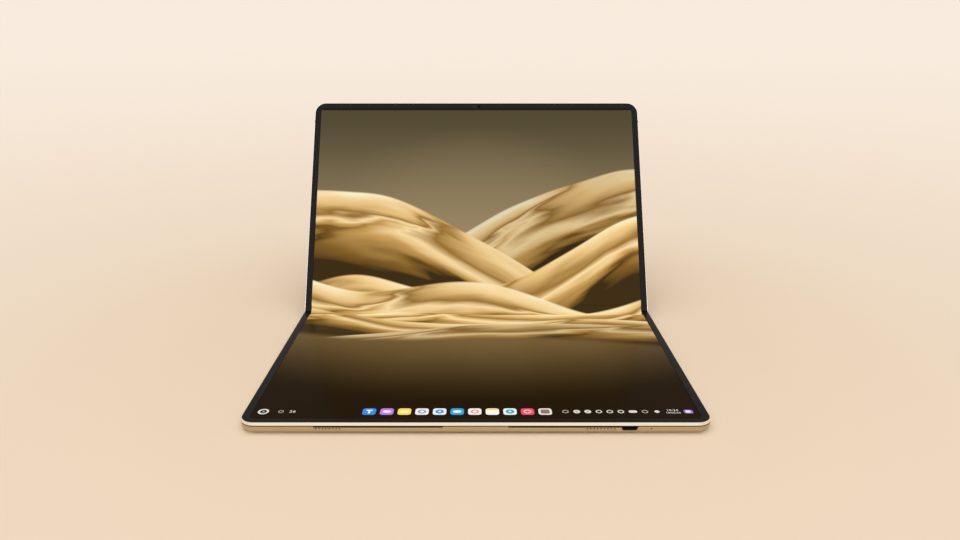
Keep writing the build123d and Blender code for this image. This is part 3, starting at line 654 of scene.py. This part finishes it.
def apply_all(item):
    """Apply an object's modifiers."""
    pick_only(item)
    for modifier in list(item.modifiers):
        bpy.ops.object.modifier_apply(modifier=modifier.name)


def merge(name, items):
    """Join pieces into one object."""
    pick_only(*items)
    bpy.ops.object.join()
    return fresh(name)


def tint(item, colour):
    """Write one colour on all faces of a piece."""
    layer = item.data.color_attributes.new("tint", "FLOAT_COLOR", "CORNER")
    for element in layer.data:
        element.color = (*colour, 1.0)


def tile(x, y, width, length, corner, z, thickness, colour, turn=0.0):
    """Flat plate with rounded corners on the display, with one colour."""
    select_none()
    bpy.ops.mesh.primitive_plane_add(size=1.0, location=(x, y, z), rotation=(0, 0, turn))
    item = bpy.context.object
    item.scale = (width, length, 1.0)
    edit_all(settle(item))
    bpy.ops.mesh.bevel(offset=corner, segments=5, affect="VERTICES")
    bpy.ops.mesh.select_all(action="SELECT")
    return raise_mark(item, thickness, colour)


def ring(x, y, z, outer, inner, thickness, colour):
    """Flat ring on the display."""
    select_none()
    bpy.ops.mesh.primitive_circle_add(vertices=32, radius=outer, fill_type="NGON", location=(x, y, z))
    item = bpy.context.object
    edit_all(settle(item))
    bpy.ops.mesh.inset(thickness=outer - inner)
    bpy.ops.mesh.delete(type="FACE")
    bpy.ops.mesh.select_all(action="SELECT")
    return raise_mark(item, thickness, colour)


def disc(x, y, z, radius, thickness, colour):
    """Flat round spot on the display."""
    return tile(x, y, 2 * radius, 2 * radius, radius * 0.98, z, thickness, colour)


def figures(text, x, y, z, height, thickness, colour):
    """Figures on the display, read from the front."""
    select_none()
    bpy.ops.object.text_add(location=(0, 0, 0))
    item = bpy.context.object
    item.data.body = text
    item.data.align_x = "CENTER"
    item.data.align_y = "CENTER"
    item.data.size = height
    item.data.resolution_u = 2
    bpy.ops.object.convert(target="MESH")
    item = bpy.context.object
    item.location = (x, y, z)
    edit_all(settle(item))
    bpy.ops.mesh.remove_doubles(threshold=1e-7)
    return raise_mark(item, thickness, colour)


def lit_material(name, settings):
    """Glowing marks whose colour is painted on them."""
    recipe = Recipe(name, base_color=UNPAINTED, roughness=0.3, specular_ior_level=0.06,
                    emission_strength=settings.brightness)
    painted = recipe.node("ShaderNodeVertexColor", {"layer_name": "tint"}, output="Color")
    recipe.feed("Emission Color", painted)
    return recipe.material


# Operators


class LAPTOP_OT_shells(bpy.types.Operator):
    """Finish the gold covers, rims, grilles, spine, keys and kickstand"""

    bl_idname = "laptop.shells"
    bl_label = "Shells and rims"

    def execute(self, context):
        settings = context.scene.laptop_shell
        gold, grain = settings.shell_colour, settings.grain_size
        dress(["base_cover"], anodised("satin_gold_base", gold, grain, shade_mask=base_groove_shade))
        dress(["lid_cover"], anodised("satin_gold_lid", gold, grain, shade_mask=lid_groove_shade))
        dress(["kickstand"], anodised("satin_gold", gold, grain))
        dress(["front_grille_left", "front_grille_right"],
              anodised("grille_gold", gold, grain, shade_mask=sound_hole_shade))
        hinge = anodised("hinge_gold", [part * 0.9 for part in gold], grain, roughness=0.28)
        dress(["spine_cover", "spine_cap_left", "spine_cap_right", "power_button", "volume_key"], hinge)
        dress(["base_frame"], polished("polished_gold_base", settings.rim_colour, base_groove_shade))
        dress(["lid_frame"], polished("polished_gold_lid", settings.rim_colour, lid_groove_shade))
        dress(["antenna_breaks"], moulded("break_plastic", (0.10, 0.06, 0.03), 0.45))
        dress(["rubber_feet"], moulded("foot_rubber", (0.02, 0.018, 0.016), 0.75, 0.0004, 0.00003))
        return {"FINISHED"}


class LAPTOP_OT_borders(bpy.types.Operator):
    """Finish the black borders round the display, the lens and the sensor"""

    bl_idname = "laptop.borders"
    bl_label = "Black borders and lenses"

    def execute(self, context):
        black = moulded("soft_black", (0.006, 0.006, 0.006), 0.34, 0.00012, 0.000003,
                        specular_ior_level=0.10)
        dress(["base_bezel", "lid_bezel"], black)
        recipe = Recipe("dark_lens", roughness=0.18, specular_ior_level=0.02)
        low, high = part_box("camera")
        across = recipe.split(recipe.place())[0] - (low.x + high.x) / 2
        rings = ((across * 9000.0).sine() * 0.5 + 0.5) * 0.02
        recipe.feed("Base Color", recipe.mix(rings, (0.002, 0.002, 0.003), (0.10, 0.12, 0.20)))
        dress(["camera"], recipe.material)
        dress(["light_sensor"], moulded("sensor_window", (0.02, 0.012, 0.03), 0.2))
        return {"FINISHED"}


class LAPTOP_OT_displays(bpy.types.Operator):
    """Light the two flat stretches of the display"""

    bl_idname = "laptop.displays"
    bl_label = "Display picture"

    def execute(self, context):
        settings = context.scene.laptop_screen
        dress(["base_display"], display_material("base_picture", across_place, along_base, settings))
        dress(["lid_display"], display_material("lid_picture", across_place, along_lid, settings))
        return {"FINISHED"}


class LAPTOP_OT_bend(bpy.types.Operator):
    """Model the display's bend over the fold as strips, on each side one that follows the wing plate"""

    bl_idname = "laptop.bend"
    bl_label = "Display bend"

    def execute(self, context):
        settings = context.scene.laptop_screen
        material = display_material("bend_picture", own_map(0), own_map(1), settings)
        low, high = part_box("fold_display")
        for side, body in ((-1, "base"), (1, "lid")):
            route = bend_route(side, settings.bend_steps)
            flat, curved = route[:WING_POINTS], route[WING_POINTS - 1:]
            on_wing = strip("display_wing_" + body, flat, low.x, high.x, PANEL_THICKNESS)
            bent = strip("display_bend_" + body, curved, low.x, high.x, PANEL_THICKNESS)
            for item in (on_wing, bent):
                item.data.materials.append(material)
                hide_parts("fold_display")
            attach(on_wing, body + "_wing")
            first, last = curved[0][0], curved[-1][0]
            last + (first - last) / (1 - BEND_LEAD)
            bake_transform(bent)
        return {"FINISHED"}


class LAPTOP_OT_ribbon(bpy.types.Operator):
    """Model the ribbon cable through the fold as two strips, one on each side"""

    bl_idname = "laptop.ribbon"
    bl_label = "Fold ribbon"

    def execute(self, context):
        film = moulded("ribbon_film", (0.36, 0.15, 0.03), 0.3)
        low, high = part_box("fold_ribbon")
        for side, body in ((-1, "base"), (1, "lid")):
            item = strip("fold_ribbon_" + body, ribbon_route(side), low.x, high.x, RIBBON_THICKNESS)
            item.data.materials.append(film)
            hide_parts("fold_ribbon")
            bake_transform(item)
        return {"FINISHED"}


def spine_frame():
    """Middle of the fold, the way out along it and the way up, as the spine lies at rest."""
    out = (LID_AXIS - BASE_AXIS).normalized()
    return (BASE_AXIS + LID_AXIS) / 2, out, Vector((0, -out.z, out.y))


def from_spine(reach, height):
    """Distance from the spine's middle and height over it, of a point given along a half from its
    fold axis and over that axis."""
    cos, sin = math.cos(FOLD_ANGLE), math.sin(FOLD_ANGLE)
    return AXIS_OFFSET + reach * cos - height * sin, reach * sin + height * cos


def ribbon_route(side):
    """Points of the ribbon's top on one side, from inside the half to the spine's middle, each with
    its distance from the middle."""
    middle, out, up = spine_frame()
    points = [from_spine(along - AXIS_OFFSET, height) for along, height in RIBBON_IN_HALF]
    for radius, angle in RIBBON_IN_SPINE:
        turn = math.radians(angle)
        points.append((AXIS_OFFSET + radius * math.cos(turn), radius * math.sin(turn)))
    points.append((0.0, points[-1][1]))
    return [(middle + out * side * y + up * z, side * y) for y, z in points]


def bend_route(side, steps):
    """Points of the bent display's top on one side, from its flat end to the fold, each with its
    distance along the display, in the rest pose."""
    middle, out, up = spine_frame()
    y, z = from_spine(BEND_START - AXIS_OFFSET, SCREEN_TOP - BASE_AXIS.z)
    low, high = WING_ANGLE, STEEPEST
    for _ in range(HALVINGS):
        slope = (low + high) / 2
        straight = BEND_START - ON_WING - FOLD_RADIUS * slope
        covered = straight * math.cos(slope) + FOLD_RADIUS * math.sin(slope)
        if ON_WING * math.cos(WING_ANGLE) + covered > y:
            low = slope
        else:
            high = slope
    points = [(y, z, BEND_START)]
    for length, angle in ((ON_WING, WING_ANGLE), (straight, slope)):
        part = length / STRAIGHT_PARTS
        for _ in range(STRAIGHT_PARTS):
            y, z = y - part * math.cos(angle), z - part * math.sin(angle)
            points.append((y, z, points[-1][2] - part))
    lowest = z - FOLD_RADIUS * (1 - math.cos(slope))
    for index in range(1, steps + 1):
        angle = slope * (1 - index / steps)
        height = lowest + FOLD_RADIUS * (1 - math.cos(angle))
        points.append((FOLD_RADIUS * math.sin(angle), height, FOLD_RADIUS * angle))
    return [(middle + out * side * y + up * z, side * along) for y, z, along in points]


def strip(name, route, x0, x1, thickness):
    """Band along a route of points, with its place on the display in its map."""
    select_none()
    start = route[0][0]
    bpy.ops.mesh.primitive_plane_add(size=1.0, location=((x0 + x1) / 2, start.y, start.z))
    item = fresh(name)
    edit_all(settle(item))
    bpy.ops.mesh.select_mode(type="VERT")
    bpy.ops.mesh.merge(type="COLLAPSE")
    bpy.ops.object.mode_set(mode="OBJECT")
    item.data.vertices[0].co = (x0, start.y, start.z)
    edit_all(item)
    extend((x1 - x0, 0, 0))
    bpy.ops.mesh.select_all(action="SELECT")
    bpy.ops.mesh.subdivide(number_cuts=CROSS_CUTS)
    for (here, _), (there, _) in zip(route, route[1:]):
        extend(there - here)
    face_outward()
    if sum(face.normal.z for face in item.data.polygons) < 0:
        edit_all(item)
        bpy.ops.mesh.flip_normals()
        bpy.ops.object.mode_set(mode="OBJECT")
    layer = item.data.uv_layers.new(name="screen")
    for loop in item.data.loops:
        co = item.data.vertices[loop.vertex_index].co
        along = min(route, key=lambda entry: (entry[0].y - co.y) ** 2 + (entry[0].z - co.z) ** 2)[1]
        layer.data[loop.index].uv = (co.x / HALF_WIDTH, along / HALF_WIDTH)
    wall = item.modifiers.new("thickness", "SOLIDIFY")
    wall.thickness = thickness
    wall.offset = -1.0
    apply_all(item)
    pick_only(item)
    bpy.ops.object.shade_smooth_by_angle(angle=SMOOTH_ANGLE)
    return item


# Icons of the dock: colour of the tile, colour of the mark on it, and the mark's form
ICONS = (
    ((0.03, 0.25, 0.85), (0.85, 0.92, 1.0), "bar"),
    ((0.50, 0.20, 0.85), (0.95, 0.85, 1.0), "pill"),
    ((1.00, 0.72, 0.10), (1.0, 0.90, 0.55), "pill"),
    ((0.85, 0.85, 0.86), (0.25, 0.25, 0.27), "ring"),
    ((0.80, 0.90, 1.00), (0.05, 0.30, 0.75), "disc"),
    ((0.02, 0.38, 0.80), (0.90, 0.97, 1.0), "pill"),
    ((0.90, 0.88, 0.86), (0.80, 0.25, 0.08), "ring"),
    ((0.95, 0.93, 0.85), (0.90, 0.72, 0.12), "top"),
    ((0.80, 0.92, 0.90), (0.02, 0.35, 0.50), "disc"),
    ((0.90, 0.06, 0.14), (1.00, 0.55, 0.60), "ring"),
    ((0.82, 0.78, 0.72), (0.30, 0.17, 0.12), "square"),
)
WHITE = (0.75, 0.72, 0.68)
GREY = (0.42, 0.38, 0.32)
VIOLET = (0.30, 0.16, 0.70)
LILAC = (0.80, 0.76, 0.92)

# Marks of the tray: place across the display, form and colour
TRAY = (
    (0.0551, "ring", GREY),
    (0.0620, "spot", WHITE),
    (0.0688, "spot", WHITE),
    (0.0756, "ring", WHITE),
    (0.0823, "ring", WHITE),
    (0.0891, "ring", WHITE),
    (0.0965, "pill", WHITE),
    (0.1039, "ring", GREY),
    (0.1113, "diamond", WHITE),
)

# Places of the other marks across the display, and half the distance between the clock's lines
START_X = -0.1304
SEARCH_X = -0.1196
COUNT_X = -0.1125
CLOCK_X = 0.1210
PANEL_X = 0.1306
HALF_LINE = 0.0016

# How far each layer of the marks stands up from the one under it
LIFT = 0.00002


def lay(name, light, items, screen):
    """Join marks into one lit piece on the lower half."""
    item = merge(name, items)
    item.data.materials.clear()
    item.data.materials.append(lit_material(light, screen))
    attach(item, "base")


class LAPTOP_OT_dock(bpy.types.Operator):
    """Lay the row of icons on the display's lower half"""

    bl_idname = "laptop.dock"
    bl_label = "Dock icons"

    def execute(self, context):
        dock = context.scene.laptop_dock
        y = FRONT_Y + dock.row_gap
        size = dock.icon_size
        top = SCREEN_TOP + LIFT
        items = []
        for index, (ground, mark, form) in enumerate(ICONS):
            x = dock.first_x + index * dock.pitch
            items.append(tile(x, y, size, size, size * 0.24, SCREEN_TOP, LIFT, ground))
            if form == "bar":
                items.append(tile(x, y, size * 0.16, size * 0.56, size * 0.07, top, LIFT, mark))
                items.append(tile(x, y + size * 0.2, size * 0.5, size * 0.15, size * 0.07, top + LIFT,
                                  LIFT, mark))
            elif form == "pill":
                items.append(tile(x, y, size * 0.62, size * 0.34, size * 0.16, top, LIFT, mark))
            elif form == "ring":
                items.append(ring(x, y, top, size * 0.30, size * 0.18, LIFT, mark))
            elif form == "disc":
                items.append(disc(x, y, top, size * 0.32, LIFT, mark))
                items.append(disc(x, y, top + LIFT, size * 0.12, LIFT, ground))
            elif form == "top":
                items.append(tile(x, y + size * 0.34, size * 0.9, size * 0.2, size * 0.08, top,
                                  LIFT, mark))
            else:
                items.append(tile(x, y, size * 0.66, size * 0.62, size * 0.1, top, LIFT, mark))
        lay("dock_icons", "dock_light", items, context.scene.laptop_screen)
        return {"FINISHED"}


class LAPTOP_OT_status(bpy.types.Operator):
    """Lay the clock, the tray's marks and the round start mark on the display"""

    bl_idname = "laptop.status"
    bl_label = "Clock and tray marks"

    def execute(self, context):
        dock = context.scene.laptop_dock
        y = FRONT_Y + dock.row_gap
        z = SCREEN_TOP
        items = [ring(START_X, y, z, 0.0034, 0.0021, LIFT, WHITE),
                 disc(START_X, y, z, 0.0008, LIFT, GREY),
                 ring(SEARCH_X, y, z, 0.0017, 0.0011, LIFT, GREY),
                 figures("26", COUNT_X, y, z, 0.0042, LIFT, WHITE),
                 figures(dock.clock, CLOCK_X, y + HALF_LINE, z, 0.0034, LIFT, WHITE),
                 figures(dock.date, CLOCK_X, y - HALF_LINE, z, 0.0026, LIFT, WHITE)]
        for x, form, colour in TRAY:
            if form == "spot":
                items.append(disc(x, y, z, 0.0021, LIFT, colour))
                items.append(disc(x, y, z + LIFT, 0.0009, LIFT, GREY))
            elif form == "pill":
                items.append(tile(x, y, 0.0052, 0.0030, 0.0012, z, LIFT, colour))
            elif form == "diamond":
                items.append(tile(x, y, 0.0028, 0.0028, 0.0007, z, LIFT, colour, turn=math.pi / 4))
            else:
                items.append(ring(x, y, z, 0.0020, 0.0013, LIFT, colour))
        items.append(tile(PANEL_X, y, 0.0056, 0.0046, 0.0014, z, LIFT, VIOLET))
        items.append(tile(PANEL_X - 0.0002, y, 0.0032, 0.0030, 0.0008, z + LIFT, LIFT, LILAC))
        lay("tray_marks", "tray_light", items, context.scene.laptop_screen)
        return {"FINISHED"}


class LAPTOP_OT_inside(bpy.types.Operator):
    """Finish the hinge, the boards, fans, batteries and other inner pieces"""

    bl_idname = "laptop.inside"
    bl_label = "Inner pieces"

    def execute(self, context):
        steel = brushed("brushed_steel", (0.52, 0.51, 0.50), 0.34)
        arms = ["base_arm_left", "base_arm_middle", "base_arm_right",
                "lid_arm_left", "lid_arm_middle", "lid_arm_right"]
        dress(arms + ["base_wing_plate", "lid_wing_plate", "kickstand_pins", "base_arm_screws",
                      "lid_arm_screws", "base_display_support", "lid_display_support"], steel)
        dress(["base_magnets", "lid_magnets"], brushed("bright_steel", (0.60, 0.60, 0.61), 0.22))
        dress(["charging_port"],
              moulded("port_black", (0.010, 0.009, 0.008), 0.5, specular_ior_level=0.2))
        dress(["rail_block_left", "rail_block_middle", "rail_block_right"],
              moulded("dark_steel", (0.05, 0.05, 0.05), 0.4, metallic=1.0))
        dress(["mainboard"], circuit("mainboard_green", Vector((0, 1, 0))))
        dress(["display_driver_board"], circuit("driver_green", UP_LID))
        dress(["heat_spreader"], brushed("copper_plate", (0.62, 0.30, 0.17), 0.32))
        dress(["base_battery", "lid_battery"],
              moulded("cell_wrap", (0.022, 0.022, 0.025), 0.35, 0.0006, 0.00002))
        black = moulded("moulded_black", (0.018, 0.018, 0.018), 0.5)
        dress(["speaker_left", "speaker_right", "fan_housing_left", "fan_housing_right",
               "fan_wheel_left", "fan_wheel_right", "microphone"], black)
        return {"FINISHED"}


class LAPTOP_OT_stage(bpy.types.Operator):
    """Build the cream floor, the light and the camera"""

    bl_idname = "laptop.stage"
    bl_label = "Studio"

    def execute(self, context):
        settings = context.scene.laptop_stage
        select_none()
        bpy.ops.mesh.primitive_circle_add(vertices=96, radius=settings.floor_radius, fill_type="NGON")
        floor = fresh("floor")
        floor.data.materials.append(floor_material(settings))
        key_size = (settings.key_size, settings.key_size)
        lamps = (("key_lamp", KEY_PLACE, key_size, settings.key_power),
                 ("front_lamp", FRONT_PLACE, FRONT_SIZE, settings.front_power))
        for name, place, size, power in lamps:
            select_none()
            bpy.ops.object.light_add(type="AREA", location=place)
            lamp = fresh(name)
            lamp.data.shape = "RECTANGLE"
            lamp.data.size, lamp.data.size_y = size
            lamp.data.energy = power
            lamp.data.color = LAMP_COLOUR
            aim = Vector(LAMP_AIM) - lamp.location
            lamp.rotation_euler = aim.to_track_quat("-Z", "Y").to_euler()
        context.scene.world = studio_world(settings)
        context.scene.view_settings.view_transform = "Standard"
        select_none()
        bpy.ops.object.camera_add(location=CAMERA_PLACE, rotation=(math.pi / 2 - CAMERA_DROP, 0, 0))
        camera = fresh("studio_camera")
        camera.data.lens = settings.lens
        camera.data.sensor_width = 36.0
        camera.data.shift_x = CAMERA_SHIFT
        camera.data.clip_start, camera.data.clip_end = CAMERA_REACH
        context.scene.camera = camera
        return {"FINISHED"}


def floor_material(settings):
    """Matt cream paper with painted shade round the laptop: its tone pales with the distance from the
    laptop, and far away it shows as it is written, as an evenly lit studio does."""
    recipe = Recipe("cream_paper", roughness=0.9, specular_ior_level=0.1)
    x, y, _ = recipe.split(recipe.place())
    distance = (x * x + y * y) ** 0.5
    reach = distance / (distance + PALE_DISTANCE)
    grain = recipe.noise(recipe.place(), 700.0, 3.0) - 0.5
    # Painted shade: darker cream near the laptop, paler far away
    colour = recipe.mix(reach.smooth(*PALE_SHARES) + grain * 0.03, settings.shaded_near_colour,
                        settings.far_colour)
    recipe.feed("Base Color", colour)
    rays = recipe.node("ShaderNodeLightPath", output="Is Camera Ray")
    mirrored = recipe.node("ShaderNodeLightPath", output="Is Glossy Ray")
    through = recipe.node("ShaderNodeLightPath", output="Is Transmission Ray")
    seen = rays.maths("MAXIMUM", mirrored).maths("MAXIMUM", through)
    glow = recipe.node("ShaderNodeEmission", inputs={"Color": colour, "Strength": 1.0})
    joined = recipe.tree.nodes.new("ShaderNodeMixShader")
    share = seen * distance.smooth(*EVEN_DISTANCES)
    recipe.tree.links.new(share.output, joined.inputs["Fac"])
    recipe.tree.links.new(recipe.shader.outputs[0], joined.inputs[1])
    recipe.tree.links.new(glow.output, joined.inputs[2])
    recipe.tree.links.new(joined.outputs[0], recipe.tree.nodes["Material Output"].inputs["Surface"])
    return recipe.material


def studio_world(settings):
    """Room round the stage: pale at the floor's horizon and dimmer above it."""
    world = bpy.data.worlds.new("studio")
    recipe = RoomRecipe(world)
    height = recipe.split(recipe.node("ShaderNodeTexCoord", output="Generated"))[2]
    stops = ((0.0, settings.far_colour), (ROOM_BAND[0], settings.far_colour), (ROOM_BAND[1], ROOM_DIM),
             (1.0, ROOM_TOP))
    ramp = recipe.node("ShaderNodeValToRGB", {"stops": stops}, {"Fac": height})
    recipe.feed("Color", ramp)
    recipe.shader.inputs["Strength"].default_value = settings.room_light
    return world


# Add-on

CLASSES = (
    ShellSettings, ScreenSettings, DockSettings, StageSettings, LAPTOP_OT_shells, LAPTOP_OT_borders,
    LAPTOP_OT_displays, LAPTOP_OT_bend, LAPTOP_OT_ribbon, LAPTOP_OT_dock, LAPTOP_OT_status,
    LAPTOP_OT_inside, LAPTOP_OT_stage,
)


class LAPTOP_PT_looks(bpy.types.Panel):
    """Steps that dress the laptop"""

    bl_label = "Foldable laptop"
    bl_idname = "LAPTOP_PT_looks"
    bl_space_type = "VIEW_3D"
    bl_region_type = "UI"
    bl_category = "Laptop"

    def draw(self, context):
        for item in CLASSES:
            if issubclass(item, bpy.types.Operator):
                self.layout.operator(item.bl_idname)


def register():
    for item in (*CLASSES, LAPTOP_PT_looks):
        bpy.utils.register_class(item)
    bpy.types.Scene.laptop_shell = PointerProperty(type=ShellSettings)
    bpy.types.Scene.laptop_screen = PointerProperty(type=ScreenSettings)
    bpy.types.Scene.laptop_dock = PointerProperty(type=DockSettings)
    bpy.types.Scene.laptop_stage = PointerProperty(type=StageSettings)


def unregister():
    del bpy.types.Scene.laptop_stage
    del bpy.types.Scene.laptop_dock
    del bpy.types.Scene.laptop_screen
    del bpy.types.Scene.laptop_shell
    for item in reversed((*CLASSES, LAPTOP_PT_looks)):
        bpy.utils.unregister_class(item)


def main():
    register()
    bpy.ops.laptop.stage()
    bpy.ops.laptop.shells()
    bpy.ops.laptop.borders()
    bpy.ops.laptop.displays()
    bpy.ops.laptop.bend()
    bpy.ops.laptop.ribbon()
    bpy.ops.laptop.dock()
    bpy.ops.laptop.status()
    bpy.ops.laptop.inside()
    select_none()


if __name__ == "__main__":
    main()
